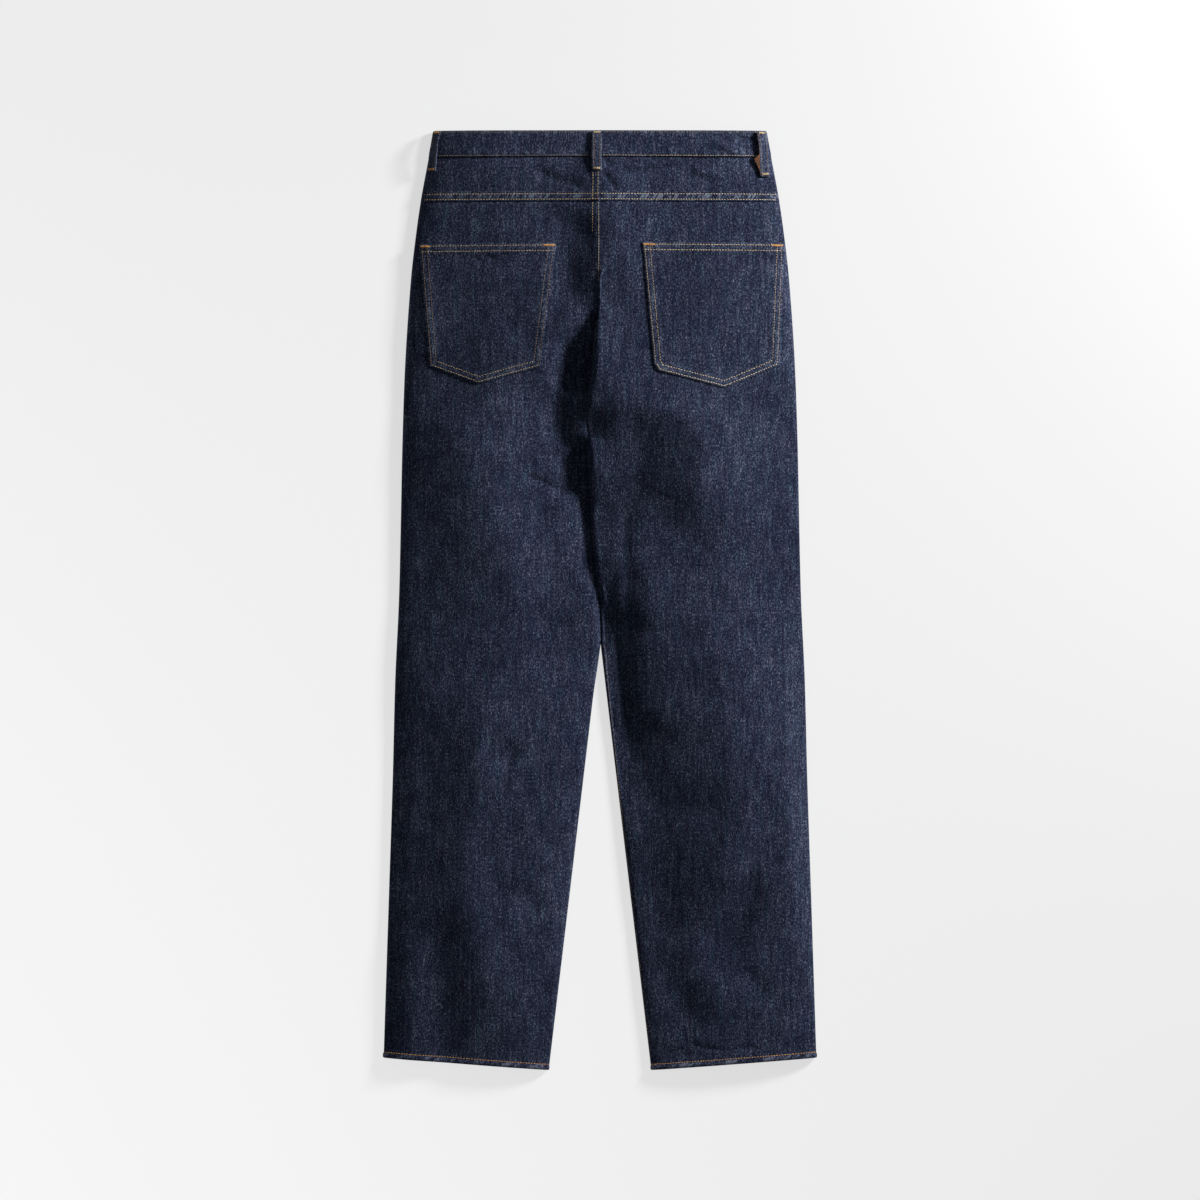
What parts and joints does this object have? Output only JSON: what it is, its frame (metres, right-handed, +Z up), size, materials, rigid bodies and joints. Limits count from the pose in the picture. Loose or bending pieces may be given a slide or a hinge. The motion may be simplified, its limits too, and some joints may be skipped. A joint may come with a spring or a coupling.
{
  "type": "wide leg jeans",
  "caption": "Wide leg denim trousers laid flat on their front, with a yoke, patch back pockets, belt loops, a buttoned waistband and hollow legs open at the hems.",
  "frame": {"origin": "middle of the garment's box, on the surface that it lies on", "axes": "+Z up out of the back, +Y towards the waist, +X towards the wearer's right side"},
  "size_m": [0.4932, 1.0702, 0.0285],
  "materials": {
    "denim": "dark unwashed indigo twill, matt, with gold thread seams",
    "brass": "dull plain antique brass"
  },
  "bodies": {
    "root": {"front_left": "denim", "front_right": "denim", "front_pocket_facing_left": "denim", "front_pocket_facing_right": "denim", "back_left": "denim", "back_right": "denim", "yoke_left": "denim", "yoke_right": "denim", "back_pocket_left": "denim", "back_pocket_right": "denim", "fly_shield": "denim", "waistband": "denim", "waist_button": "brass", "belt_loop_back": "denim", "belt_loop_side_left": "denim", "belt_loop_side_right": "denim", "belt_loop_front_left": "denim", "belt_loop_front_right": "denim"}
  },
  "joints": []
}
